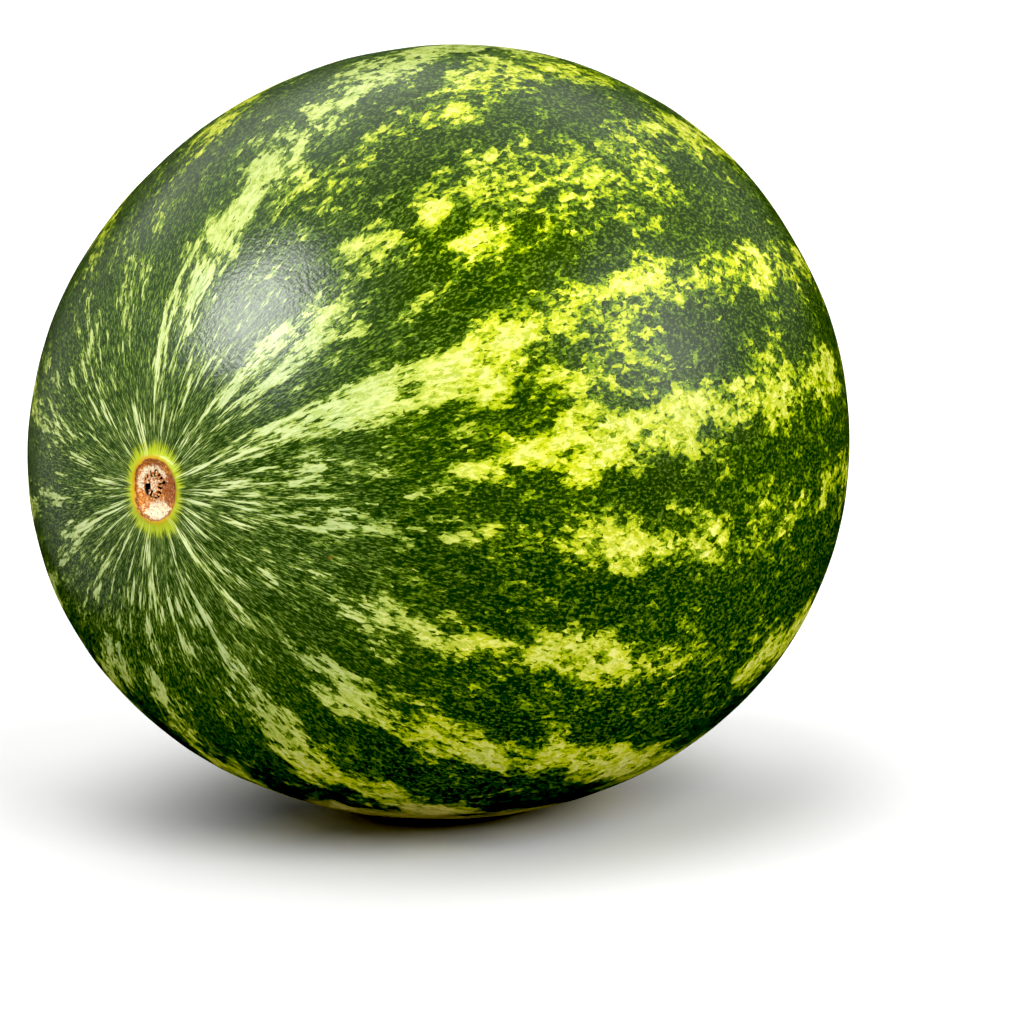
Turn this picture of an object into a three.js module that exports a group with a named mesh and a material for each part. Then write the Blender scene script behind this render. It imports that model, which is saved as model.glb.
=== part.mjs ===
// A whole striped watermelon, lying on its side on a small flat spot.
//
// Millimetres, +Z up. The stem end looks along -X and the blossom end along +X. The origin is in
// the middle of the melon's box, on the plane that it rests on. The fruit grew as one piece, so
// it is one closed body: a slightly lopsided oval, with the corky scar where the stem broke off at
// one end and the small scar of the flower at the other.

import * as THREE from 'three';
import { mergeVertices } from 'three/addons/utils/BufferGeometryUtils.js';

// Size of the fruit
const GIRTH_RADIUS = 120;
const HALF_LENGTH = 140.5;
const FLAT_SPOT_DEPTH = 1.6;

// How much slimmer the stem end is than the flower end, as a share of the radius
const TAPER_TO_STEM = 0.02;

// Broad lobes round the girth: how many, how high as a share of the radius, and where one crest
// lies, in degrees from the top towards -Y
const LOBES = [
  { count: 2, height: 0.0025, crest: 27 },
  { count: 3, height: 0.0175, crest: 3 },
  { count: 4, height: 0.003, crest: 39 },
];

// Scar of the stem: a shallow dimple, a raised corky rim, a sunken disc and the woody nub in it
const STEM_SCAR = {
  radius: 8.9,
  dimpleRadius: 24,
  dimpleDepth: 3,
  rimWidth: 1.6,
  rimHeight: 0.9,
  discRadius: 6.6,
  discDepth: 0.8,
  nubRadius: 3,
  nubHeight: 0.9,
};

// Scar of the flower: smaller, in a wider and shallower dimple, with hardly any rim
const BLOSSOM_SCAR = {
  radius: 5,
  dimpleRadius: 30,
  dimpleDepth: 2.2,
  rimWidth: 1.4,
  rimHeight: 0.4,
  discRadius: 3.4,
  discDepth: 0.4,
  nubRadius: 1.6,
  nubHeight: 0.4,
};

// Mesh: meridians round the fruit, rings along it, and how far the rings crowd towards the ends
const MERIDIANS = 64;
const RINGS = 66;
const RING_CROWDING = 0.9;

const RIND_COLOUR = 0x3c6a1e;
const RIND_ROUGHNESS = 0.35;

// A smooth hump of height 1 at the middle that fades to nothing over about its radius.
function hump(distance, radius) {
  return Math.exp(-((distance / radius) ** 2));
}

// A smooth step from 1 inside the radius to 0 outside it.
function plateau(distance, radius, edge) {
  return 0.5 - 0.5 * Math.tanh((distance - radius) / edge);
}

// How far the skin stands out along the axis at a distance from the middle of a scar.
function scarRelief(distance, scar) {
  const dimple = -scar.dimpleDepth * hump(distance, scar.dimpleRadius);
  const rim = scar.rimHeight * hump(distance - scar.radius, scar.rimWidth);
  const disc = -scar.discDepth * plateau(distance, scar.discRadius, scar.rimWidth / 2);
  const nub = scar.nubHeight * hump(distance, scar.nubRadius);
  return dimple + rim + disc + nub;
}

// Angle from the stem's pole of each ring. The rings crowd at both ends, where the scars are.
function ringAngle(ring) {
  const share = ring / RINGS;
  const crowding = (RING_CROWDING * Math.sin(2 * Math.PI * share)) / (2 * Math.PI);
  return Math.PI * (share - crowding);
}

// Share that the lobes add to the radius in one direction round the axis.
function lobeShare(around) {
  let share = 0;
  for (const lobe of LOBES) {
    share += lobe.height * Math.cos(lobe.count * (around - THREE.MathUtils.degToRad(lobe.crest)));
  }
  return share;
}

// A point of the skin. along runs from 0 at the stem to pi at the flower, and around starts at
// the top and turns towards -Y.
function skinPoint(along, around) {
  const towardsStem = Math.cos(along);
  const girth = Math.sin(along);
  const taper = -TAPER_TO_STEM * towardsStem;
  const lobes = lobeShare(around) * girth ** 2;
  const radius = GIRTH_RADIUS * girth * (1 + taper + lobes);
  const stemEnd = towardsStem > 0;
  const relief = scarRelief(radius, stemEnd ? STEM_SCAR : BLOSSOM_SCAR);
  const x = stemEnd ? -HALF_LENGTH * towardsStem - relief : -HALF_LENGTH * towardsStem + relief;
  return new THREE.Vector3(x, -radius * Math.sin(around), radius * Math.cos(around));
}

// The skin as a closed mesh: a sphere whose rings and meridians are moved to the fruit's shape.
// The sphere's own meridians turn the other way round, hence the minus sign.
function skinGeometry() {
  const sphere = new THREE.SphereGeometry(1, MERIDIANS, RINGS);
  const position = sphere.getAttribute('position');
  for (let ring = 0; ring <= RINGS; ring += 1) {
    for (let meridian = 0; meridian <= MERIDIANS; meridian += 1) {
      const around = (-2 * Math.PI * (meridian % MERIDIANS)) / MERIDIANS;
      const point = skinPoint(ringAngle(ring), around);
      position.setXYZ(ring * (MERIDIANS + 1) + meridian, point.x, point.y, point.z);
    }
  }
  sphere.deleteAttribute('normal');
  sphere.deleteAttribute('uv');
  return mergeVertices(sphere, 1e-4);
}

// Presses the lowest skin up to one level plane, which is the spot that the melon lies on.
function pressFlatSpot(geometry) {
  geometry.computeBoundingBox();
  const floor = geometry.boundingBox.min.z + FLAT_SPOT_DEPTH;
  const position = geometry.getAttribute('position');
  for (let i = 0; i < position.count; i += 1) {
    position.setZ(i, Math.max(position.getZ(i), floor));
  }
}

// Moves the middle of the box's underside to the origin.
function standOnOrigin(geometry) {
  geometry.computeBoundingBox();
  const centre = geometry.boundingBox.getCenter(new THREE.Vector3());
  geometry.translate(-centre.x, -centre.y, -geometry.boundingBox.min.z);
}

function makeWatermelon() {
  const geometry = skinGeometry();
  pressFlatSpot(geometry);
  standOnOrigin(geometry);
  geometry.computeVertexNormals();
  const rind = new THREE.MeshStandardMaterial({
    color: RIND_COLOUR,
    roughness: RIND_ROUGHNESS,
    metalness: 0,
  });
  const mesh = new THREE.Mesh(geometry, rind);
  mesh.name = 'watermelon';
  return mesh;
}

const melon = new THREE.Group();
melon.add(makeWatermelon());

export default melon;
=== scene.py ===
# %% [markdown]
# # A whole striped watermelon
#
# The fruit is one piece: a slightly lopsided oval ball of rind, lying on its side. All that can be
# seen is its skin, so nearly all of the work goes into three things: an outline that isn't a plain
# ellipse, the scar where the stem broke off, and the jagged light stripes on dark green.
#
# The solid model is loaded first. It is the measure for everything here, and the size of its box
# is printed.

# %% Load the solid model
import math
import random

import bpy
import numpy as np
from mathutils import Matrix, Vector


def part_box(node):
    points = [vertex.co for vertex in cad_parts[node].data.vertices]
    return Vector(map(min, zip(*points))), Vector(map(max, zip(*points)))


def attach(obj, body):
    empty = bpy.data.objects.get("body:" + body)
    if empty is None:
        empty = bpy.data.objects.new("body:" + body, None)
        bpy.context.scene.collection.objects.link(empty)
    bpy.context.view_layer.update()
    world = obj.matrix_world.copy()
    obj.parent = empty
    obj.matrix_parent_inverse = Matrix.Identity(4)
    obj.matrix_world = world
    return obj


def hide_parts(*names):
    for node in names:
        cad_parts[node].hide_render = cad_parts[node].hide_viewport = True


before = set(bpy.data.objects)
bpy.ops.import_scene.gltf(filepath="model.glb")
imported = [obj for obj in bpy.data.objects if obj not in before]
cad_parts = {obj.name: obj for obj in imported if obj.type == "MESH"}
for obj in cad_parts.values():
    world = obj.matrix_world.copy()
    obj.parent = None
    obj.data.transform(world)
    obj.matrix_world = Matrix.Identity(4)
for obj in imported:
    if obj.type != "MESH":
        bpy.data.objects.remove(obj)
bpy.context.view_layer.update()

MM = 0.001
SOLID_LOW, SOLID_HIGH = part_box("watermelon")
print("solid melon, mm:", [round((high - low) / MM, 1) for low, high in zip(SOLID_LOW, SOLID_HIGH)])

# %% [markdown]
# ## The camera
#
# The picture was taken from a little above level, from the stem's side of the flank. The lens is
# long for a fruit of this size, so the ball looks flat rather than bulging. The melon sits left of
# and above the middle of the picture, so the camera looks at a point beside it.

# %% Camera
GIRTH_RADIUS = 120 * MM
CAMERA_TURN = math.radians(-53.8)
CAMERA_RISE = math.radians(7.4)
CAMERA_DISTANCE = 1.2
LENS = 135.8
SENSOR = 36.0
PICTURE = 1024
MELON_IN_PICTURE = (443.7, 438.3)


def camera_axes(turn, rise):
    """Unit vectors from the melon to the camera, to the picture's right and to its top."""
    back = Vector((math.sin(turn) * math.cos(rise), -math.cos(turn) * math.cos(rise), math.sin(rise)))
    right = Vector((math.cos(turn), math.sin(turn), 0))
    return back, right, back.cross(right)


def add_camera(middle):
    """A camera that shows the point middle at MELON_IN_PICTURE."""
    back, right, up = camera_axes(CAMERA_TURN, CAMERA_RISE)
    metres_per_pixel = CAMERA_DISTANCE * SENSOR / LENS / PICTURE
    across = (PICTURE / 2 - MELON_IN_PICTURE[0]) * metres_per_pixel
    down = (PICTURE / 2 - MELON_IN_PICTURE[1]) * metres_per_pixel
    place = middle + back * CAMERA_DISTANCE
    target = middle + right * across - up * down
    bpy.ops.object.camera_add(location=place)
    camera = bpy.context.object
    camera.name = "camera"
    camera.rotation_euler = (target - place).to_track_quat("-Z", "Y").to_euler()
    camera.data.lens = LENS
    camera.data.sensor_width = SENSOR
    camera.data.clip_end = 500
    bpy.context.scene.camera = camera
    return camera


# %% [markdown]
# ## The shape of the fruit
#
# A watermelon is nearly an ellipse turned about its length, but a perfect one looks like a toy.
# This one is slimmer at the stem end and has three broad, low lobes round the girth, which come
# from the three chambers inside. Sculpting brushes could give them, but a formula is better here,
# because the solid model uses the same one and the two must agree.
#
# A UV sphere is the right primitive: its rings and meridians run the way that the stripes do. It
# is turned so that its poles are the stem and the flower end, and stretched to length in edit
# mode. Its rings are then drawn together at both ends, where the small scars need them.

# %% Sphere, turned and stretched
HALF_LENGTH = 140.5 * MM
MERIDIANS = 384
RINGS = 256
RING_CROWDING = 0.9

bpy.ops.object.select_all(action="DESELECT")
bpy.ops.mesh.primitive_uv_sphere_add(
    segments=MERIDIANS, ring_count=RINGS, radius=GIRTH_RADIUS, rotation=(0, -math.pi / 2, 0)
)
melon = bpy.context.object
melon.name = "melon_skin"
bpy.ops.object.transform_apply(location=True, rotation=True, scale=True)
bpy.ops.object.mode_set(mode="EDIT")
bpy.ops.mesh.select_all(action="SELECT")
bpy.ops.transform.resize(value=(HALF_LENGTH / GIRTH_RADIUS, 1, 1))
bpy.ops.object.mode_set(mode="OBJECT")
print("sphere:", len(melon.data.vertices), "vertices,", tuple(round(d, 4) for d in melon.dimensions))

# %% Where each vertex lies on the skin


def read_places(mesh):
    """The mesh's vertices as an array of one row each."""
    places = np.empty(len(mesh.vertices) * 3)
    mesh.vertices.foreach_get("co", places)
    return places.reshape(-1, 3)


def write_places(mesh, places):
    mesh.vertices.foreach_set("co", places.ravel())
    mesh.update()


def crowd_rings(along):
    """Draws evenly spaced rings together at both ends."""
    share = along / math.pi
    return math.pi * (share - RING_CROWDING * np.sin(2 * math.pi * share) / (2 * math.pi))


start = read_places(melon.data)
# along is 0 at the stem and pi at the flower end. around is 0 at the top and grows towards -Y.
along = crowd_rings(np.arccos(np.clip(-start[:, 0] / HALF_LENGTH, -1, 1)))
around = np.arctan2(-start[:, 1], start[:, 2])
print("finest ring step, mm:", round(along[along > 1e-6].min() * GIRTH_RADIUS / MM, 2))

# %% [markdown]
# ## The two scars
#
# Where the stem broke off, the skin dips a little, and in the dip lies a round scar: a raised
# corky rim, a sunken disc, and in that a ring of dark slots, the broken ends of the vessels that
# fed the fruit. The flower left a much smaller scar at the other end. Both are raised here as
# real relief, from the same widths and heights as in the solid, so they catch the light.

# %% Relief of the scars
STEM_SCAR = dict(radius=8.9, dimple_radius=24, dimple_depth=3, rim_width=1.6, rim_height=0.9,
                 disc_radius=6.6, disc_depth=0.8, nub_radius=3, nub_height=0.9)
BLOSSOM_SCAR = dict(radius=5, dimple_radius=30, dimple_depth=2.2, rim_width=1.4, rim_height=0.4,
                    disc_radius=3.4, disc_depth=0.4, nub_radius=1.6, nub_height=0.4)


def hump(distance, radius):
    """1 at the middle, fading to nothing over about the radius."""
    return np.exp(-((distance / radius) ** 2))


def plateau(distance, radius, edge):
    """1 inside the radius and 0 outside, with a soft edge."""
    return 0.5 - 0.5 * np.tanh((distance - radius) / edge)


def scar_relief(distance, scar):
    """How far the skin stands out, in mm, at a distance in mm from the middle of a scar."""
    dimple = -scar["dimple_depth"] * hump(distance, scar["dimple_radius"])
    rim = scar["rim_height"] * hump(distance - scar["radius"], scar["rim_width"])
    disc = -scar["disc_depth"] * plateau(distance, scar["disc_radius"], scar["rim_width"] / 2)
    nub = scar["nub_height"] * hump(distance, scar["nub_radius"])
    return dimple + rim + disc + nub


# %% [markdown]
# ## The vessel ring
#
# The stem fed the fruit through a ring of small vessels, and each left a slot in the cork where it
# broke. A boolean could cut them, but they are only half a millimetre wide. So a formula that is 1
# in a slot and 0 beside it is enough: it presses the skin in here and colours it black later.

# %% Vessel slots in the stem scar
VESSELS = 15
VESSEL_RING = 3.0
VESSEL_MIDDLE = (1.5, 1.2)
SLOT_HALF_LENGTH = 0.75
SLOT_HALF_WIDTH = 0.26
SLOT_DEPTH = 0.45
TORN_SLOTS = (4.1, -0.2)

slot_draw = random.Random(7)


def soft_spot(scar_y, scar_z, middle, half_width, half_height):
    """1 well inside an oval spot, one half at its edge, 0 well outside."""
    out = np.hypot((scar_y - middle[0]) / half_width, (scar_z - middle[1]) / half_height)
    return np.clip(1.5 - out, 0, 1)


def vessel_slots(scar_y, scar_z):
    """1 in the dark slots of the vessel ring and 0 elsewhere. Places are in mm on the scar."""
    # On the left a few slots are torn and run together.
    slots = soft_spot(scar_y, scar_z, TORN_SLOTS, 0.7, 1.7)
    y = scar_y - VESSEL_MIDDLE[0]
    z = scar_z - VESSEL_MIDDLE[1]
    for vessel in range(VESSELS):
        angle = 2 * math.pi * (vessel + slot_draw.uniform(-0.2, 0.2)) / VESSELS
        ring = VESSEL_RING + slot_draw.uniform(-0.3, 0.3)
        outwards = y * math.cos(angle) + z * math.sin(angle) - ring
        sideways = -y * math.sin(angle) + z * math.cos(angle)
        length = SLOT_HALF_LENGTH * slot_draw.uniform(0.7, 1.15)
        width = SLOT_HALF_WIDTH * slot_draw.uniform(0.8, 1.3)
        slots = np.maximum(slots, np.exp(-((outwards / length) ** 4) - (sideways / width) ** 2))
    return slots


# %% [markdown]
# ## The cork
#
# The plug of cork isn't round: it is taller than it is wide, with rather square corners. A
# superellipse gives that outline in one line. It could be painted by hand, but as a formula it also
# says how deep inside the edge a place lies, which the dark outline and the halo need. The cream
# and brown patches are ovals, whose edges the material frays.

# %% Where the cork is, and where it is cream or brown
CORK_MIDDLE = (0.6, 0.0)
CORK_HALF_WIDTH = 6.8
CORK_HALF_HEIGHT = 8.8
CORK_SQUARENESS = 2.4


def cork_depth(scar_y, scar_z):
    """How far inside the edge of the cork a place lies, in mm. Outside it is below 0."""
    across = np.abs(scar_y - CORK_MIDDLE[0]) / CORK_HALF_WIDTH
    up = np.abs(scar_z - CORK_MIDDLE[1]) / CORK_HALF_HEIGHT
    reach = (across**CORK_SQUARENESS + up**CORK_SQUARENESS) ** (1 / CORK_SQUARENESS)
    return (1 - reach) * CORK_HALF_WIDTH


def cream_patches(scar_y, scar_z):
    """1 where the cork has dried to cream: low down, and a lip above the vessel ring."""
    low_patch = soft_spot(scar_y, scar_z, (-0.1, -5.8), 3.9, 2.5)
    y = scar_y - VESSEL_MIDDLE[0]
    z = scar_z - VESSEL_MIDDLE[1]
    lip = hump(np.hypot(y, z) - 4.4, 0.8) * np.clip(0.5 + z / 3 + y / 6, 0, 1)
    plate = 0.6 * soft_spot(scar_y, scar_z, VESSEL_MIDDLE, 3.2, 3.2)
    return np.maximum(low_patch, np.maximum(lip, plate))


def brown_patches(scar_y, scar_z):
    """1 where the cork is dark orange brown: down the right side and at the top."""
    right_side = soft_spot(scar_y, scar_z, (-3.8, 0.2), 1.9, 5.2)
    top = 0.75 * soft_spot(scar_y, scar_z, (0.8, 7.0), 3.6, 1.5)
    return np.maximum(right_side, top)


# %% [markdown]
# ## From sphere to fruit
#
# Each vertex now moves to its place on the fruit: the taper and the lobes set its distance from
# the axis, and the scars push it along the axis. Then the fruit is set down the way the solid is,
# with the middle of its box over the origin.

# %% Shape the fruit
TAPER_TO_STEM = 0.02
LOBES = [(2, 0.0025, 27), (3, 0.0175, 3), (4, 0.003, 39)]
FLAT_SPOT_DEPTH = 1.6 * MM


def fruit_places(along, around):
    """Places of the skin about the fruit's own middle, in metres, and the radius in mm."""
    towards_stem = np.cos(along)
    girth = np.sin(along)
    lobes = 0
    for count, height, crest in LOBES:
        lobes = lobes + height * np.cos(count * (around - math.radians(crest)))
    radius = GIRTH_RADIUS * girth * (1 - TAPER_TO_STEM * towards_stem + lobes * girth**2)
    distance = radius / MM
    stem_end = towards_stem > 0
    relief = np.where(stem_end, scar_relief(distance, STEM_SCAR), scar_relief(distance, BLOSSOM_SCAR))
    x = -HALF_LENGTH * towards_stem + np.where(stem_end, -relief, relief) * MM
    return np.stack([x, -radius * np.sin(around), radius * np.cos(around)], 1), distance


places, from_axis = fruit_places(along, around)
slots = np.where(along < math.pi / 4, vessel_slots(places[:, 1] / MM, places[:, 2] / MM), 0)
places[:, 0] += slots * SLOT_DEPTH * MM
low, high = places.min(0), places.max(0)
SET_DOWN = np.array([-(low[0] + high[0]) / 2, -(low[1] + high[1]) / 2, -low[2] - FLAT_SPOT_DEPTH])
write_places(melon.data, places + SET_DOWN)
FRUIT_MIDDLE = Vector(SET_DOWN)
add_camera(FRUIT_MIDDLE)
print("fruit's middle, mm:", [round(c / MM, 1) for c in FRUIT_MIDDLE])

# %% [markdown]
# ## Lumps and cork
#
# Real rind is never quite even: light slides over it in slow waves. Displace modifiers with soft
# cloud textures give that. One presses the whole skin in by less than a millimetre, in lumps a
# few centimetres wide. A second one works only on the cork, through a vertex group, and gives it
# its crumbly surface. Both only press inwards, so the fruit stays in its box.

# %% Displace modifiers
LUMP_SIZE = 38 * MM
LUMP_DEPTH = 0.9 * MM
CORK_GRAIN = 1.5 * MM
CORK_DEPTH = 0.7 * MM


def press_in(piece, name, size, depth, group=""):
    """Presses a piece's surface in by a cloud texture, and applies it."""
    texture = bpy.data.textures.new(name, "CLOUDS")
    texture.noise_scale = size
    texture.noise_depth = 2
    modifier = piece.modifiers.new(name, "DISPLACE")
    modifier.texture = texture
    modifier.texture_coords = "LOCAL"
    modifier.strength = depth
    modifier.mid_level = 1.0
    modifier.vertex_group = group
    bpy.context.view_layer.objects.active = piece
    bpy.ops.object.modifier_apply(modifier=modifier.name)


inside_cork = cork_depth(places[:, 1] / MM, places[:, 2] / MM)
cork_weight = plateau(-inside_cork, 0.0, 0.5) * (along < math.pi / 2)
cork_group = melon.vertex_groups.new(name="stem scar")
for index in np.flatnonzero(cork_weight > 0.01):
    cork_group.add([int(index)], float(cork_weight[index]), "REPLACE")
press_in(melon, "slow lumps", LUMP_SIZE, LUMP_DEPTH)
press_in(melon, "cork grain", CORK_GRAIN, CORK_DEPTH, cork_group.name)
melon.vertex_groups.clear()
print("skin after lumps, mm:", [round(d / MM, 1) for d in melon.dimensions])

# %% [markdown]
# ## The spot that it lies on
#
# Eight kilos press the rind flat where it rests. By hand one would select the lowest vertices and
# scale them to nothing along Z, about the level of the floor. The same operator does it here.

# %% Flat spot
low_vertices = read_places(melon.data)[:, 2] < 0
bpy.ops.object.mode_set(mode="EDIT")
bpy.ops.mesh.select_mode(type="VERT")
bpy.ops.mesh.select_all(action="DESELECT")
bpy.ops.object.mode_set(mode="OBJECT")
melon.data.vertices.foreach_set("select", low_vertices)
bpy.ops.object.mode_set(mode="EDIT")
bpy.ops.transform.resize(value=(1, 1, 0), center_override=(0, 0, 0))
bpy.ops.mesh.select_all(action="DESELECT")
bpy.ops.object.mode_set(mode="OBJECT")
bpy.ops.object.shade_smooth()
print("vertices on the floor:", int(low_vertices.sum()))

# %% [markdown]
# ## Where the stripes run
#
# The light stripes follow the meridians, about twenty degrees apart, but each is a chain of
# jagged patches with gaps and loose islands. A painter would block them in first and break up
# their edges after, and that is the way here. First the chains are laid out as boxes on the
# skin, in degrees around and along. The material then tears their edges.
#
# On the side in view each patch is listed one by one. Out of sight the same chains go on by a rule,
# with a fixed random draw.

# %% Patches in view
# Each is around from and to, along from and to, and strength: 1 is a pale core, 0.6 mid green.
CROWN_STRIPE = [
    (-6, 0, 14, 28, 0.48), (-1, 9, 22, 34, 1.05), (-4, 3, 30, 40, 0.58), (5, 11, 27, 34, 0.62),
    (0, 8, 34, 46, 1.0), (0, 10, 45, 51, 0.9), (9, 15, 41, 50, 0.62), (2, 9, 51, 55, 0.82),
    (4, 9, 55, 60, 0.62), (0, 8, 60, 68, 0.84), (3, 9, 66, 80, 0.78), (-3, 4, 70, 80, 0.64),
    (0, 8, 78, 92, 0.8),
]
CROWN_BRANCH = [
    (15, 20, 52, 66, 0.46), (21.5, 25, 66.5, 70, 1.2), (14, 19, 70, 80, 0.74),
    (20, 24, 72, 80, 0.68), (11, 23, 79, 87, 0.66), (9, 16, 88, 100, 0.54), (17, 25, 89, 100, 0.6),
]
SHOULDER_STRIPE = [
    (29, 36, 9, 20, 0.85), (34, 49, 14, 33, 1.02), (41, 49, 30, 36, 1.0), (40, 50, 33, 38, 0.74),
    (31, 39, 39, 48, 0.62), (31, 38, 52, 59, 0.72), (33, 38, 59, 65, 0.62), (31, 40, 65, 71, 0.63),
    (38, 42, 62, 74, 0.78), (41, 44, 72, 82, 0.8), (37, 41, 74, 79, 0.7), (37, 50, 80, 90, 0.52),
    (37, 41, 81, 86, 0.66),
    (33, 38, 90, 100, 0.66), (31, 41, 100, 110, 0.85), (43, 48, 53, 60, 0.82), (45, 49, 64, 74, 0.7),
    (50, 53, 45, 47, 0.8), (46, 50, 76, 80, 0.6),
]
BROAD_STRIPE = [
    (61, 70, 8, 20, 0.9), (59.5, 70, 18, 34, 1.05), (60, 70, 32, 41, 1.05), (60, 72, 40, 51, 1.15),
    (70, 73, 22, 40, 0.6), (59, 66, 51, 59, 0.95), (66, 69, 51, 55, 0.8), (59, 65, 58, 64, 0.85),
    (58, 62, 63, 80, 0.85), (62, 67, 64, 74, 0.7), (59, 62, 80, 90, 0.7), (62, 65, 78, 84, 0.6),
    # The last patch on the next line is partly painted light: it lightens the skin where the side
    # panel's highlight falls, over the skin's own mid-green structure.
    (57, 64, 89, 102, 0.85), (60, 64, 103, 112, 0.62), (66, 76, 56, 76, 0.46),
]
FLANK_STRIPE = [
    (74, 80, 8, 18, 0.8), (80, 90, 9, 26, 0.85), (87, 91, 18, 30, 0.65), (81.5, 85, 31, 34.5, 0.75),
    (85, 88, 36.5, 40, 0.62), (81, 88, 41, 50, 0.85), (80, 86, 48, 60, 0.95), (78, 87, 56, 69, 1.0),
    (77, 85, 68, 78, 0.92), (76, 83, 76, 84, 0.88), (75, 82, 82, 91, 0.76), (86, 89, 78, 81, 0.75),
    (73, 85, 90, 98, 0.72), (75, 83, 98, 107, 0.76), (74, 82, 107, 116, 0.68),
]
LOW_STRIPE = [
    (92, 99, 25, 36, 0.66), (95, 99, 41, 49, 0.72), (96, 102, 58, 82, 0.8), (95, 99, 92, 99, 0.8),
    (93, 97, 104, 112, 0.72),
]
FAR_SIDE_OF_STEM = [
    (-23, -14, 52, 66, 0.55), (-27, -22, 20, 38, 0.42), (-45, -36, 19, 48, 0.38),
    (-46.5, -42.5, 6, 17, 1.0), (-79, -71, 12, 40, 0.55), (-68, -60, 25, 38, 0.45),
    (-100, -94, 20, 32, 0.5), (-121, -112, 8, 24, 0.6), (-129, -124, 19, 31, 0.5),
    (-140, -136, 7, 24, 0.6), (-150, -144, 6, 26, 0.7), (-178, -171, 9, 20, 0.75),
    (-171, -165, 18, 30, 0.65), (-168, -161, 30, 46, 0.7),
]
BELOW_STEM = [
    (91, 100, 6, 21, 0.85), (101, 106, 7, 17, 0.75), (116, 121, 4, 11, 0.7), (131, 136, 7, 18, 0.75),
    (138, 144, 6, 14, 0.75), (160, 169, 6, 16, 0.75), (172, 178, 15, 24, 0.55),
]
PATCHES_IN_VIEW = (CROWN_STRIPE + CROWN_BRANCH + SHOULDER_STRIPE + BROAD_STRIPE + FLANK_STRIPE
                   + LOW_STRIPE + FAR_SIDE_OF_STEM + BELOW_STEM)

# %% Patches out of sight
# The middle of each chain, in degrees around, and where along the fruit the rule takes over.
CHAINS = [(-168, 50), (-146, 28), (-119, 26), (-98, 32), (-73, 40), (-42, 48), (-19, 66), (3, 92),
          (20, 101), (37, 110), (61, 112), (79, 118), (97, 112), (118, 30), (140, 26), (163, 24)]
FLOWER_END = 170


def chain_patches(middle, first, draw):
    """Patches of one chain, from first to the flower end, with gaps and side steps."""
    patches = []
    at = first
    while at < FLOWER_END:
        length = draw.uniform(6, 17)
        if draw.random() < 0.78:
            width = draw.uniform(4, 11)
            centre = middle + draw.uniform(-3, 3)
            strength = draw.uniform(0.6, 0.75) + 0.35 * draw.random() * min(1.0, at / 70)
            end = min(at + length, FLOWER_END)
            patches.append((centre - width / 2, centre + width / 2, at, end, strength))
        at += length * draw.uniform(0.75, 1.05)
    return patches


draw = random.Random(21)
patches_out_of_sight = []
for chain_middle, chain_first in CHAINS:
    patches_out_of_sight += chain_patches(chain_middle, chain_first, draw)
print("patches:", len(PATCHES_IN_VIEW), "in view and", len(patches_out_of_sight), "out of sight")

# %% [markdown]
# ## Values on the skin for the material to read
#
# A material can read numbers stored on the vertices, which are easier to work out here than in
# nodes. stripe says how light the skin is meant to be. grain is a place on the skin whose first two
# numbers only turn with the meridians: a pattern that reads it gets fine rays at the ends and broad
# patches at the girth, which is how the skin of a growing fruit stretches. A further value says
# where a painted sheen, the whitish veil that reflected light lays over wax, goes into the colour:
# there the pale skin is whiter and less yellow, and the dark green greyer. scar holds millimetres
# across the two scars, and the others say how far a place is from a scar or inside a patch.

# %% How light the skin is
EDGE_SOFTNESS = 1.8
WANDER = 1.2
TRAIL_HALF_WIDTH = 5.0
TRAIL_STRENGTH = 0.24
DARK_BASE = -0.2


def wander(around, along, draw):
    """A smooth random sway between about -1 and 1. It closes on itself round the fruit."""
    sway = np.zeros_like(around)
    for _ in range(12):
        turns = draw.choice((-1, 1)) * draw.randint(8, 44)
        sway += np.sin(turns * around + draw.uniform(-40, 40) * along + draw.uniform(0, 2 * math.pi))
    return sway / 3.5


def stripe_values(around, along, patches):
    """Lightness of the skin from the patches: each a box with soft edges, the strongest wins."""
    sway_draw = random.Random(5)
    around_degrees = np.degrees(around) + WANDER * wander(around, along, sway_draw)
    along_degrees = np.degrees(along) + WANDER * wander(around, along, sway_draw)
    values = np.full_like(around, DARK_BASE)
    for chain_middle, _ in CHAINS:
        turned = np.abs((around_degrees - chain_middle + 180) % 360 - 180)
        trail = np.clip(1.5 - turned / TRAIL_HALF_WIDTH, 0, 1)
        values = np.maximum(values, DARK_BASE + (TRAIL_STRENGTH - DARK_BASE) * trail)
    for around_from, around_to, along_from, along_to, strength in patches:
        middle = (around_from + around_to) / 2
        turned = np.abs((around_degrees - middle + 180) % 360 - 180)
        beside = turned - (around_to - around_from) / 2
        beyond = np.maximum(along_from - along_degrees, along_degrees - along_to)
        outside = np.maximum(beside, beyond)
        inside_share = np.clip(0.5 - outside / (2 * EDGE_SOFTNESS), 0, 1)
        values = np.maximum(values, strength * inside_share)
    return values


stripe = stripe_values(around, along, PATCHES_IN_VIEW + patches_out_of_sight)
print("share of the skin in stripes:", round(float((stripe > 0.4).mean()), 2))

# %% Grain, ground spot and painted sheen
GRAIN_AT_ENDS = 0.25
GRAIN_AT_GIRTH = 0.58
# Under the fruit the rind lay on the soil and stayed pale. Degrees around from the top, and along.
GROUND_SPOT = (180, 96)
GROUND_HALF_WIDTH = 25
GROUND_HALF_LENGTH = 34
# A painted sheen lies from the stem to here, along the crown, and from here to the flower.
SHEEN_TO = 49
SHEEN_CROWN = 2
SHEEN_FROM = 140


def painted_sheen_values(around_degrees, along_degrees):
    """1 where a painted sheen of reflected light is laid into the colour and 0 where there is none."""
    near_stem = np.clip((SHEEN_TO - along_degrees) / 20, 0, 1)
    crown = 0.75 * np.clip(1.5 - np.abs(around_degrees - SHEEN_CROWN) / 11, 0, 1)
    near_flower = np.clip((along_degrees - SHEEN_FROM) / 22, 0, 1)
    return np.maximum(np.maximum(near_stem, crown), near_flower)


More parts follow.
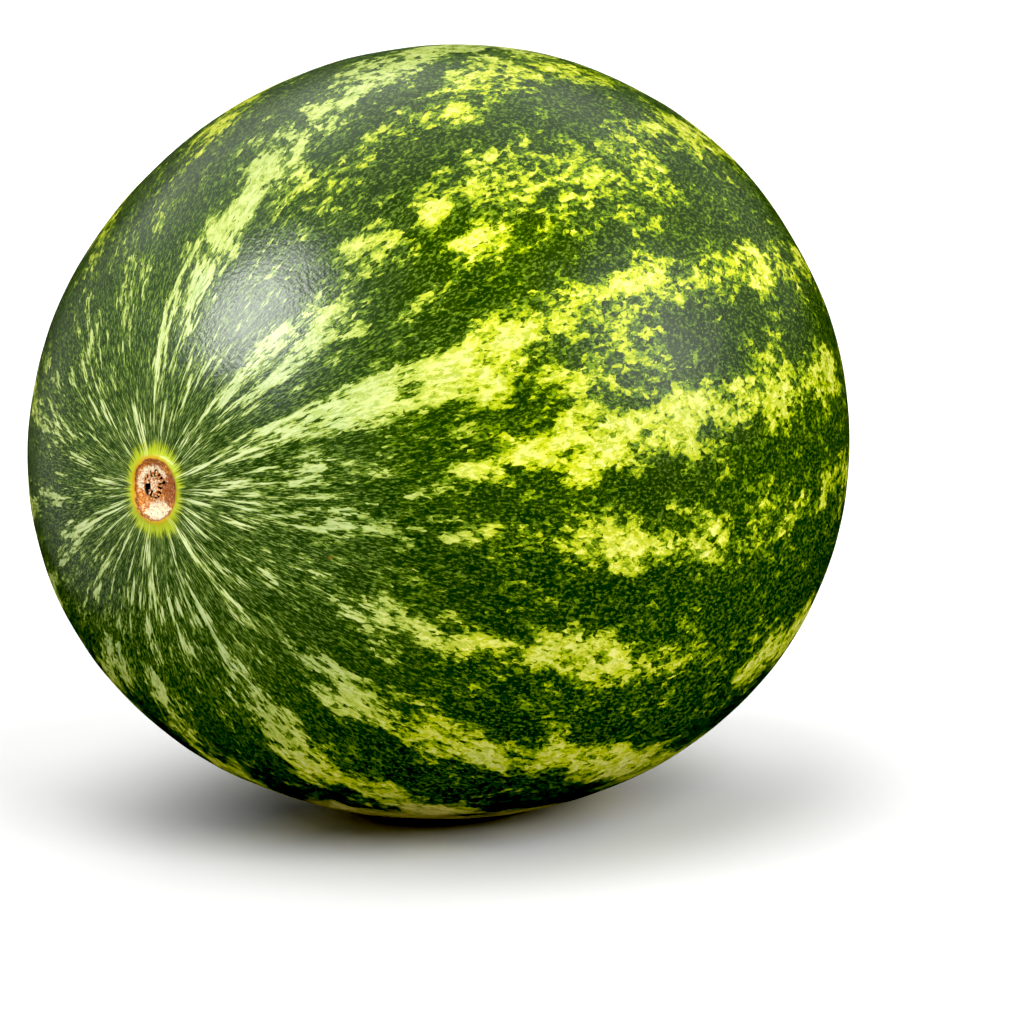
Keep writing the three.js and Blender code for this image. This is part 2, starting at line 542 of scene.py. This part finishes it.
around_degrees = np.degrees(around)
along_degrees = np.degrees(along)
lengthwise = GRAIN_AT_ENDS * along + GRAIN_AT_GIRTH * (1 - np.cos(along))
grain = np.stack([np.cos(around), np.sin(around), lengthwise], 1)
beside_spot = np.abs((around_degrees - GROUND_SPOT[0] + 180) % 360 - 180) / GROUND_HALF_WIDTH
beyond_spot = (along_degrees - GROUND_SPOT[1]) / GROUND_HALF_LENGTH
ground = np.hypot(beside_spot, beyond_spot)
# Share of the painted sheen, a veil of reflected light laid into the colour.
painted_sheen = painted_sheen_values(around_degrees, along_degrees)
print("share of the skin on the ground spot:", round(float((ground < 1).mean()), 3))

# %% Store the values
FAR_AWAY = 1000.0


def store(mesh, name, kind, values):
    """Stores one value a vertex on the mesh under a name."""
    attribute = mesh.attributes.new(name, kind, "POINT")
    attribute.data.foreach_set("vector" if kind == "FLOAT_VECTOR" else "value", values.ravel())


stem_side = along < math.pi / 2
scar_y = places[:, 1] / MM
scar_z = places[:, 2] / MM
# The painted sheen's share is stored for the material.
store(melon.data, "painted_sheen", "FLOAT", painted_sheen)
store(melon.data, "stripe", "FLOAT", stripe)
store(melon.data, "grain", "FLOAT_VECTOR", grain)
store(melon.data, "scar", "FLOAT_VECTOR", np.stack([scar_y, scar_z, np.zeros(len(places))], 1))
store(melon.data, "stem_distance", "FLOAT", np.where(stem_side, from_axis, FAR_AWAY))
store(melon.data, "blossom_distance", "FLOAT", np.where(stem_side, FAR_AWAY, from_axis))
store(melon.data, "cork", "FLOAT", np.where(stem_side, cork_depth(scar_y, scar_z), -FAR_AWAY))
store(melon.data, "cream", "FLOAT", cream_patches(scar_y, scar_z))
store(melon.data, "brown", "FLOAT", brown_patches(scar_y, scar_z))
store(melon.data, "slots", "FLOAT", slots)
store(melon.data, "ground", "FLOAT", ground)
print("deepest place in the cork, mm:", round(float(cork_depth(scar_y, scar_z)[stem_side].max()), 1))

# %% [markdown]
# ## Small helpers for nodes
#
# A material is a graph. These helpers add one node each and hand back its result, so that the
# graph below reads like a formula.

# %% Node helpers


def linear(red, green, blue):
    """A colour given as 0 to 255 on a screen, as the numbers that the shader works with."""
    return tuple((c / 255 / 12.92) if c <= 10 else ((c / 255 + 0.055) / 1.055) ** 2.4
                 for c in (red, green, blue)) + (1.0,)


def plug(tree, socket, value):
    """Sets a socket to a number or colour, or links another node's result to it."""
    if isinstance(value, bpy.types.NodeSocket):
        tree.links.new(value, socket)
    else:
        socket.default_value = value


def read_value(tree, name, output="Fac"):
    """A value stored on the vertices."""
    node = tree.nodes.new("ShaderNodeAttribute")
    node.attribute_name = name
    return node.outputs[output]


def calc(tree, operation, first, second=0.0, third=0.0, clamp=False):
    """One step of arithmetic."""
    node = tree.nodes.new("ShaderNodeMath")
    node.operation = operation
    node.use_clamp = clamp
    for socket, value in zip(node.inputs, (first, second, third)):
        plug(tree, socket, value)
    return node.outputs[0]


def step_up(tree, value, low, high):
    """0 below low, 1 above high, and a straight run between. low may be the larger."""
    node = tree.nodes.new("ShaderNodeMapRange")
    plug(tree, node.inputs["Value"], value)
    plug(tree, node.inputs["From Min"], low)
    plug(tree, node.inputs["From Max"], high)
    return node.outputs["Result"]


def blend_colours(tree, share, first, second, way="MIX"):
    """first where share is 0, second where it is 1."""
    node = tree.nodes.new("ShaderNodeMix")
    node.data_type = "RGBA"
    node.blend_type = way
    plug(tree, node.inputs[0], share)
    plug(tree, node.inputs[6], first)
    plug(tree, node.inputs[7], second)
    return node.outputs[2]


def clouds(tree, where, scale, detail=2.0, roughness=0.5):
    """Soft noise between 0 and 1, mostly near one half."""
    node = tree.nodes.new("ShaderNodeTexNoise")
    plug(tree, node.inputs["Vector"], where)
    node.inputs["Scale"].default_value = scale
    node.inputs["Detail"].default_value = detail
    node.inputs["Roughness"].default_value = roughness
    return node.outputs["Fac"]


def cells(tree, where, scale):
    """A pattern of cells: the distance from the cell's middle, and a number drawn for the cell."""
    node = tree.nodes.new("ShaderNodeTexVoronoi")
    plug(tree, node.inputs["Vector"], where)
    node.inputs["Scale"].default_value = scale
    drawn = tree.nodes.new("ShaderNodeSeparateColor")
    tree.links.new(node.outputs["Color"], drawn.inputs[0])
    return node.outputs["Distance"], drawn.outputs[0]


def cell_draw(tree, where, scale):
    """A number drawn for each cell, between 0 and 1."""
    return cells(tree, where, scale)[1]


def shaken(tree, where, scale, amount):
    """A place moved a little by noise, so that what reads it gets ragged edges."""
    noise = tree.nodes.new("ShaderNodeTexNoise")
    plug(tree, noise.inputs["Vector"], where)
    noise.inputs["Scale"].default_value = scale
    noise.inputs["Detail"].default_value = 1.0
    centred = tree.nodes.new("ShaderNodeVectorMath")
    centred.operation = "SUBTRACT"
    tree.links.new(noise.outputs["Color"], centred.inputs[0])
    centred.inputs[1].default_value = (0.5, 0.5, 0.5)
    moved = tree.nodes.new("ShaderNodeVectorMath")
    moved.operation = "MULTIPLY_ADD"
    tree.links.new(centred.outputs[0], moved.inputs[0])
    moved.inputs[1].default_value = (amount, amount, amount)
    tree.links.new(where, moved.inputs[2])
    return moved.outputs[0]


def ramp(tree, value, stops):
    """A colour for each value, from a list of places and colours."""
    node = tree.nodes.new("ShaderNodeValToRGB")
    plug(tree, node.inputs[0], value)
    elements = node.color_ramp.elements
    while len(elements) < len(stops):
        elements.new(0.5)
    for element, (place, colour) in zip(elements, stops):
        element.position = place
        element.color = colour
    return node.outputs[0]


# %% [markdown]
# ## The rind's colours
#
# The skin has a few clear levels: dark green, mid green, yellow green and a pale core. Between
# them the edges are short and broken, as if torn along small cells. They could be painted, but the
# paint would have to be as fine as the pores. So the stripe value gets noises added, clouds and
# numbers drawn for small cells, from coarse to fine, and a colour ramp cuts the sum into levels.
# Near the ends the same sum gets strong fine rays as well. Near the stem, along the crown and near
# the flower end a painted sheen goes over it: a veil of reflected light, whiter on the pale skin
# and greyer on the dark.

# %% Levels of green
DEEPEST_GREEN = linear(22, 42, 1)
DARK_GREEN = linear(33, 54, 1)
LIFTED_GREEN = linear(48, 72, 3)
DARK_SPECK = linear(100, 128, 34)
END_SPECK = linear(134, 158, 78)
MID_GREEN = linear(92, 122, 10)
FRESH_GREEN = linear(114, 136, 8)
YELLOW_GREEN = linear(152, 164, 12)
PALE_YELLOW = linear(174, 180, 26)
PALE_CORE = linear(192, 193, 74)
PALEST = linear(205, 205, 124)
WHITE_RAY = linear(204, 212, 168)
# Colours of the painted sheen: pale skin whitened, its mottling, and dark green greyed by a veil of
# reflected light.
SHEENED_PALE = linear(158, 176, 122)
SHEENED_GREEN = linear(112, 142, 52)
SHEENED_DARK = linear(46, 68, 34)
LOWEST_LEVEL = -0.4
HIGHEST_LEVEL = 1.3


def end_share(tree):
    """1 at both ends of the fruit and 0 towards its girth."""
    near_stem = step_up(tree, read_value(tree, "stem_distance"), 76.0, 10.0)
    near_flower = step_up(tree, read_value(tree, "blossom_distance"), 46.0, 6.0)
    return calc(tree, "MAXIMUM", near_stem, near_flower)


def stripe_level(tree, grain_place, near_end):
    """How light the skin is at a point: the stored stripe with its edges torn."""
    # Each noise has a scale and a strength. The cells' own edges are ragged too.
    torn = shaken(tree, grain_place, 60.0, 0.03)
    calm = calc(tree, "MULTIPLY_ADD", near_end, -0.35, 0.77)
    level = calc(tree, "MULTIPLY", read_value(tree, "stripe"), calm)
    broad = clouds(tree, grain_place, 8.0, 2.0, 0.5)
    noises = [
        (broad, 0.4),
        (clouds(tree, grain_place, 26.0, 3.0, 0.65), 0.72),
        (cell_draw(tree, torn, 26.0), 0.38),
        (cell_draw(tree, torn, 52.0), 0.4),
        (cell_draw(tree, grain_place, 84.0), 0.34),
        (cell_draw(tree, grain_place, 170.0), 0.22),
    ]
    for noise, strength in noises:
        level = calc(tree, "MULTIPLY_ADD", calc(tree, "SUBTRACT", noise, 0.5), strength, level)
    # Where the broad clouds are high the rays stand close together, and elsewhere they are few.
    gap = calc(tree, "MULTIPLY_ADD", broad, -0.45, 0.735)
    rays = calc(tree, "SUBTRACT", clouds(tree, grain_place, 30.0, 3.0, 0.65), gap)
    ray_strength = calc(tree, "MULTIPLY", calc(tree, "POWER", near_end, 1.6), 8.0)
    return calc(tree, "MULTIPLY_ADD", rays, ray_strength, level)


def rind_colour(tree, level, near_end, grain_place):
    """The level as a colour, with painted sheen, dark specks and fine yellow mottling in the pale."""
    stops = [
        (-0.3, DEEPEST_GREEN), (0.1, DARK_GREEN), (0.3, LIFTED_GREEN), (0.33, MID_GREEN),
        (0.46, FRESH_GREEN), (0.5, YELLOW_GREEN), (0.64, PALE_YELLOW), (0.7, PALE_CORE),
        (1.1, PALEST),
    ]
    span = HIGHEST_LEVEL - LOWEST_LEVEL
    colour = ramp(tree, step_up(tree, level, LOWEST_LEVEL, HIGHEST_LEVEL),
                  [((stop - LOWEST_LEVEL) / span, shade) for stop, shade in stops])
    # Painted sheen: the pale skin whiter and the dark green greyer, as a veil of reflected light.
    painted_sheen = read_value(tree, "painted_sheen")
    sheen_on_pale = calc(tree, "MULTIPLY", step_up(tree, level, 0.38, 0.62), painted_sheen)
    colour = blend_colours(tree, calc(tree, "MULTIPLY", sheen_on_pale, 0.8), colour, SHEENED_PALE)
    dark = step_up(tree, level, 0.5, 0.3)
    sheen_on_dark = calc(tree, "MULTIPLY", calc(tree, "MULTIPLY", dark, painted_sheen), 0.55)
    colour = blend_colours(tree, sheen_on_dark, colour, SHEENED_DARK)
    specks = clouds(tree, grain_place, 128.0, 2.0, 0.7)
    light_speck = calc(tree, "MULTIPLY", step_up(tree, specks, 0.53, 0.61), dark)
    speck_share = calc(tree, "MULTIPLY_ADD", near_end, 0.35, 0.55)
    speck_colour = blend_colours(tree, near_end, DARK_SPECK, END_SPECK)
    colour = blend_colours(tree, calc(tree, "MULTIPLY", light_speck, speck_share), colour, speck_colour)
    deep_speck = calc(tree, "MULTIPLY", step_up(tree, specks, 0.47, 0.4), dark)
    colour = blend_colours(tree, calc(tree, "MULTIPLY", deep_speck, 0.85), colour, DEEPEST_GREEN)
    mottling = step_up(tree, clouds(tree, grain_place, 60.0, 3.0, 0.75), 0.5, 0.42)
    pale = step_up(tree, level, 0.55, 0.7)
    mottled = calc(tree, "MULTIPLY", calc(tree, "MULTIPLY", mottling, pale), 0.75)
    # Under the painted sheen the mottling is whiter too.
    net = blend_colours(tree, painted_sheen, YELLOW_GREEN, SHEENED_GREEN)
    colour = blend_colours(tree, mottled, colour, net)
    # The rays at the ends are whiter than the patches at the girth.
    white_ray = calc(tree, "MULTIPLY", step_up(tree, level, 0.5, 1.0), near_end)
    colour = blend_colours(tree, calc(tree, "MULTIPLY", white_ray, 0.75), colour, WHITE_RAY)
    patchy = clouds(tree, grain_place, 3.0, 2.0)
    shade = ramp(tree, patchy, [(0.3, (0.82, 0.86, 0.8, 1)), (0.7, (1.12, 1.1, 1.0, 1))])
    return blend_colours(tree, 1.0, colour, shade, "MULTIPLY")


# %% [markdown]
# ## The halo and the cork
#
# Round the scar the rind is yellow green, and the light rays grow out of this halo. The cork
# itself is tan and orange, with cream and brown patches, cracks, a darker line round its edge and
# black slots. Each is one more coat over the one before, laid where its stored value says, the way
# a painter glazes. One noise on every edge keeps them from looking cut out.

# %% Halo and cork
HALO = linear(166, 180, 26)
HALO_WIDTH = 3.2
CORK_AMBER = linear(190, 140, 22)
CORK_TAN = linear(210, 146, 68)
CORK_ORANGE = linear(182, 92, 20)
CORK_CREAM = linear(226, 208, 172)
CORK_BROWN = linear(142, 74, 20)
OUTLINE_BROWN = linear(92, 46, 12)
SLOT_BLACK = linear(20, 12, 8)


def add_halo(tree, colour, level, grain_place, edge):
    """Lays the yellow-green halo over the rind's colour, with a spiky outer edge."""
    spikes = calc(tree, "SUBTRACT", clouds(tree, grain_place, 30.0, 2.0), 0.5)
    distance = calc(tree, "MULTIPLY_ADD", spikes, 8.0, edge)
    share = step_up(tree, distance, -HALO_WIDTH - 0.8, -HALO_WIDTH + 0.8)
    # The strongest rays run on through the halo.
    share = calc(tree, "MULTIPLY", share, step_up(tree, level, 1.9, 0.9))
    colour = blend_colours(tree, calc(tree, "MULTIPLY", share, 0.9), colour, HALO)
    return blend_colours(tree, step_up(tree, edge, -1.3, -0.2), colour, CORK_AMBER)


def frayed_patch(tree, name, noise, softness=0.2):
    """The share of a patch stored on the vertices, with its edge broken up by noise."""
    wavy = calc(tree, "MULTIPLY_ADD", calc(tree, "SUBTRACT", noise, 0.5), 4.0, read_value(tree, name))
    return step_up(tree, wavy, 0.5 - softness, 0.5 + softness)


def cork_colour(tree, scar_place, edge):
    """Tan and orange cork with cream and brown patches, cracks, a dark outline and slots."""
    fine = clouds(tree, scar_place, 1.3, 4.0, 0.75)
    colour = blend_colours(tree, step_up(tree, fine, 0.4, 0.6), CORK_ORANGE, CORK_TAN)
    brown = frayed_patch(tree, "brown", clouds(tree, scar_place, 0.9, 4.0, 0.8))
    colour = blend_colours(tree, brown, colour, CORK_BROWN)
    colour = blend_colours(tree, frayed_patch(tree, "cream", fine), colour, CORK_CREAM)
    cracks = step_up(tree, clouds(tree, scar_place, 1.9, 3.0, 0.7), 0.45, 0.38)
    colour = blend_colours(tree, calc(tree, "MULTIPLY", cracks, 0.75), colour, OUTLINE_BROWN)
    outline = calc(tree, "MULTIPLY", step_up(tree, edge, 0.9, 0.3), 0.75)
    colour = blend_colours(tree, outline, colour, OUTLINE_BROWN)
    open_slot = step_up(tree, read_value(tree, "slots"), 0.25, 0.6)
    return blend_colours(tree, open_slot, colour, SLOT_BLACK)


# %% [markdown]
# ## The other end, the ground spot and the pores
#
# The flower's scar is a small dry disc, brown with a paler rim. Underneath is the ground spot,
# cream yellow, where the fruit lay on the soil out of the sun. The whole skin has a few dark
# pores and small brown freckles. They are drawn cell by cell, and most cells stay empty.

# %% Flower scar, ground spot and freckles
FLOWER_BROWN = linear(120, 96, 52)
FLOWER_TAN = linear(190, 160, 96)
FLOWER_HALO = linear(176, 188, 60)
GROUND_CREAM = linear(232, 214, 128)
GROUND_YELLOW = linear(206, 196, 88)
PORE_DARK = linear(26, 34, 8)
FRECKLE_BROWN = linear(118, 92, 30)


def add_ground_spot(tree, colour, grain_place, level):
    """Lays the pale spot under the rind's pattern, which still shows through near its edge."""
    ragged = calc(tree, "SUBTRACT", clouds(tree, grain_place, 7.0, 3.0, 0.65), 0.5)
    reach = calc(tree, "MULTIPLY_ADD", ragged, 1.3, read_value(tree, "ground"))
    reach = calc(tree, "MULTIPLY_ADD", level, -0.15, reach)
    share = step_up(tree, reach, 1.05, 0.8)
    mottled = step_up(tree, clouds(tree, grain_place, 40.0, 2.0, 0.7), 0.4, 0.6)
    spot = blend_colours(tree, mottled, GROUND_CREAM, GROUND_YELLOW)
    return blend_colours(tree, calc(tree, "MULTIPLY", share, 0.92), colour, spot)


def add_flower_scar(tree, colour, scar_place):
    """Lays the flower's scar over the rind's colour, and hands back its share too."""
    ragged = calc(tree, "SUBTRACT", clouds(tree, scar_place, 0.7, 3.0), 0.5)
    distance = calc(tree, "MULTIPLY_ADD", ragged, 2.0, read_value(tree, "blossom_distance"))
    halo = calc(tree, "MULTIPLY", step_up(tree, distance, 8.5, 5.0), 0.8)
    colour = blend_colours(tree, halo, colour, FLOWER_HALO)
    disc = blend_colours(tree, step_up(tree, distance, 3.0, 4.4), FLOWER_BROWN, FLOWER_TAN)
    share = step_up(tree, distance, 5.3, 4.9)
    return blend_colours(tree, share, colour, disc), share


def add_dots(tree, colour, place, scale, radius, kept, dot_colour):
    """Lays small dots over a colour, one in each of the few cells that are kept."""
    distance, drawn = cells(tree, place, scale)
    inside = step_up(tree, distance, radius, radius * 0.6)
    share = calc(tree, "MULTIPLY", inside, calc(tree, "LESS_THAN", drawn, kept))
    return blend_colours(tree, calc(tree, "MULTIPLY", share, 0.85), colour, dot_colour)


# %% [markdown]
# ## The skin's gloss
#
# The rind has a thin bloom of wax: a soft shine, broken up by pores about a millimetre apart. The
# pores are far too fine for the mesh, so they are a bump, and slower waves in the same bump make
# the highlight's edge uneven. The cork and the flower's scar are dull.

# %% Rind material


def make_rind():
    material = bpy.data.materials.new("striped_rind")
    material.use_nodes = True
    tree = material.node_tree
    tree.nodes.clear()
    output = tree.nodes.new("ShaderNodeOutputMaterial")
    skin = tree.nodes.new("ShaderNodeBsdfPrincipled")
    tree.links.new(skin.outputs[0], output.inputs["Surface"])

    place = tree.nodes.new("ShaderNodeTexCoord").outputs["Object"]
    grain_place = read_value(tree, "grain", "Vector")
    scar_place = read_value(tree, "scar", "Vector")
    near_end = end_share(tree)
    level = stripe_level(tree, grain_place, near_end)
    colour = rind_colour(tree, level, near_end, grain_place)
    colour = add_ground_spot(tree, colour, grain_place, level)
    # Cells for a metre of skin, the dot's radius in its cell, and the share of cells with a dot.
    colour = add_dots(tree, colour, place, 55.0, 0.05, 0.25, FRECKLE_BROWN)
    colour = add_dots(tree, colour, place, 110.0, 0.07, 0.2, PORE_DARK)
    colour, flower_share = add_flower_scar(tree, colour, scar_place)

    ragged = calc(tree, "SUBTRACT", clouds(tree, scar_place, 0.5, 2.0), 0.5)
    edge = calc(tree, "MULTIPLY_ADD", ragged, 1.8, read_value(tree, "cork"))
    cork_share = step_up(tree, edge, -0.15, 0.15)
    colour = add_halo(tree, colour, level, grain_place, edge)
    colour = blend_colours(tree, cork_share, colour, cork_colour(tree, scar_place, edge))
    tree.links.new(colour, skin.inputs["Base Color"])
    dull_share = calc(tree, "MAXIMUM", cork_share, flower_share)

    pores = clouds(tree, place, 900.0, 1.0, 0.5)
    waves = clouds(tree, place, 160.0, 1.0)
    height = calc(tree, "MULTIPLY_ADD", waves, 0.5, calc(tree, "MULTIPLY", pores, 2.2))
    on_cork = step_up(tree, read_value(tree, "cork"), -0.3, 0.3)
    crumbs = calc(tree, "MULTIPLY", clouds(tree, scar_place, 1.3, 3.0, 0.7), on_cork)
    height = calc(tree, "MULTIPLY_ADD", crumbs, 6.0, height)
    bump = tree.nodes.new("ShaderNodeBump")
    bump.inputs["Strength"].default_value = 0.4
    bump.inputs["Distance"].default_value = 0.12 * MM
    tree.links.new(height, bump.inputs["Height"])
    tree.links.new(bump.outputs[0], skin.inputs["Normal"])

    gloss = step_up(tree, clouds(tree, place, 60.0, 3.0), 0.3, 0.7)
    roughness = calc(tree, "MULTIPLY_ADD", gloss, 0.08, 0.28)
    roughness = calc(tree, "MULTIPLY_ADD", dull_share, 0.45, roughness)
    tree.links.new(roughness, skin.inputs["Roughness"])
    skin.inputs["Specular IOR Level"].default_value = 0.45
    skin.inputs["IOR"].default_value = 1.43
    return material


melon.data.materials.clear()
melon.data.materials.append(make_rind())

# %% [markdown]
# ## Floor
#
# A plain pale floor runs under everything. Near the fruit it shows soft shadows, and a little
# farther out it begins to glow, so that it runs into the white behind it without an edge. A bent
# sheet of white paper does that in a studio, but it only works from one side, and the glow works
# from all.

# %% Floor
FLOOR_SIZE = 400.0
FLOOR_GREY = 0.62
GLOW_FROM = 0.18
GLOW_TO = 0.5
GLOW = 0.4

bpy.ops.mesh.primitive_plane_add(size=FLOOR_SIZE, location=(0, 0, 0))
floor = bpy.context.object
floor.name = "floor"
paper = bpy.data.materials.new("pale_floor")
paper.use_nodes = True
paper_shader = paper.node_tree.nodes["Principled BSDF"]
paper_shader.inputs["Base Color"].default_value = (FLOOR_GREY, FLOOR_GREY, FLOOR_GREY, 1)
paper_shader.inputs["Roughness"].default_value = 0.9
paper_shader.inputs["Specular IOR Level"].default_value = 0.1
paper_shader.inputs["Emission Color"].default_value = (1, 1, 1, 1)
paper_tree = paper.node_tree
from_melon = paper_tree.nodes.new("ShaderNodeVectorMath")
from_melon.operation = "LENGTH"
floor_place = paper_tree.nodes.new("ShaderNodeTexCoord").outputs["Object"]
paper_tree.links.new(floor_place, from_melon.inputs[0])
glow = step_up(paper_tree, from_melon.outputs["Value"], GLOW_FROM, GLOW_TO)
plug(paper_tree, paper_shader.inputs["Emission Strength"], calc(paper_tree, "MULTIPLY", glow, GLOW))
paper.cycles.emission_sampling = "NONE"
floor.data.materials.append(paper)
floor.visible_glossy = False

# %% [markdown]
# ## Light
#
# A round panel at the upper left leaves the clear highlight, and a weaker one lights the flank on
# the right. The rest is very broad light, which Blender makes with suns of a wide angle: weak ones
# from behind put a sheen on the rim, and three from the front and overhead fill the dark green.
#
# Wax mirrors its surroundings. In a white room that would lie as a veil over the dark skin, so the
# floor, the room and the three filling suns stay out of the reflections, and the key panel is only
# there for its reflection. Photographers do the same with black cards and a polarising filter.
# Near the stem and along the crown the veil is painted into the rind's colour instead.

# %% Lights


def light_direction(turn, rise):
    """From the melon to a light that is turned and raised, in degrees, as seen from the camera."""
    back, right, _ = camera_axes(CAMERA_TURN, 0)
    turn = math.radians(turn)
    rise = math.radians(rise)
    level = back * math.cos(turn) + right * math.sin(turn)
    return level * math.cos(rise) + Vector((0, 0, math.sin(rise)))


def add_panel(name, turn, rise, distance, size, power):
    """A soft round light that faces the melon."""
    direction = light_direction(turn, rise)
    bpy.ops.object.light_add(type="AREA", location=FRUIT_MIDDLE + direction * distance)
    light = bpy.context.object
    light.name = name
    light.rotation_euler = direction.to_track_quat("Z", "Y").to_euler()
    light.data.shape = "DISK"
    light.data.size = size
    light.data.energy = power
    return light


def add_sky(name, turn, rise, spread, strength):
    """Very broad even light from one direction, the same at any distance."""
    direction = light_direction(turn, rise)
    bpy.ops.object.light_add(type="SUN", location=FRUIT_MIDDLE + direction)
    light = bpy.context.object
    light.name = name
    light.rotation_euler = direction.to_track_quat("Z", "Y").to_euler()
    light.data.angle = math.radians(spread)
    light.data.energy = strength
    return light


key = add_panel("key, reflection only", -51, 43, 1.5, 0.85, 41)
key.visible_diffuse = False
add_panel("side", 80, 24, 1.6, 0.95, 10)
add_sky("low on the left", -110, 8, 80, 0.5)
add_sky("behind on the left", -148, 46, 50, 0.55)
add_sky("behind on the right", 128, 36, 60, 0.34)
add_sky("overhead, behind", 165, 62, 60, 0.6)
FILLING_SUNS = [
    ("overhead, no reflection", 170, 84, 50, 1.1),
    ("front right, no reflection", 32, 38, 32, 2.3),
    ("front left, no reflection", -42, 56, 50, 2.6),
]
for filling_sun in FILLING_SUNS:
    add_sky(*filling_sun).visible_glossy = False

# %% [markdown]
# ## Even light from all round, and the black point
#
# The world gives a little light from everywhere, and is plain white where the camera sees it. Last,
# the picture's black point is raised a little, as one does to a photograph: it takes the thin
# haze off the dark green and leaves white as it is.

# %% World and view
AROUND = 0.16
BLACK_LEVEL = 0.017
world = bpy.data.worlds.new("studio")
world.use_nodes = True
background = world.node_tree.nodes["Background"]
background.inputs["Color"].default_value = (1, 1, 1, 1)
seen = world.node_tree.nodes.new("ShaderNodeLightPath").outputs["Is Camera Ray"]
brightness = calc(world.node_tree, "MULTIPLY_ADD", seen, 1 - AROUND, AROUND)
plug(world.node_tree, background.inputs["Strength"], brightness)
world.cycles_visibility.glossy = False
bpy.context.scene.world = world
view = bpy.context.scene.view_settings
view.view_transform = "Standard"
view.use_curve_mapping = True
view.curve_mapping.black_level = (BLACK_LEVEL, BLACK_LEVEL, BLACK_LEVEL)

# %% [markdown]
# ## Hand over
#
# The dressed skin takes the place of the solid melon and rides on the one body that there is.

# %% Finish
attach(melon, "root")
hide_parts("watermelon")
bpy.context.view_layer.update()
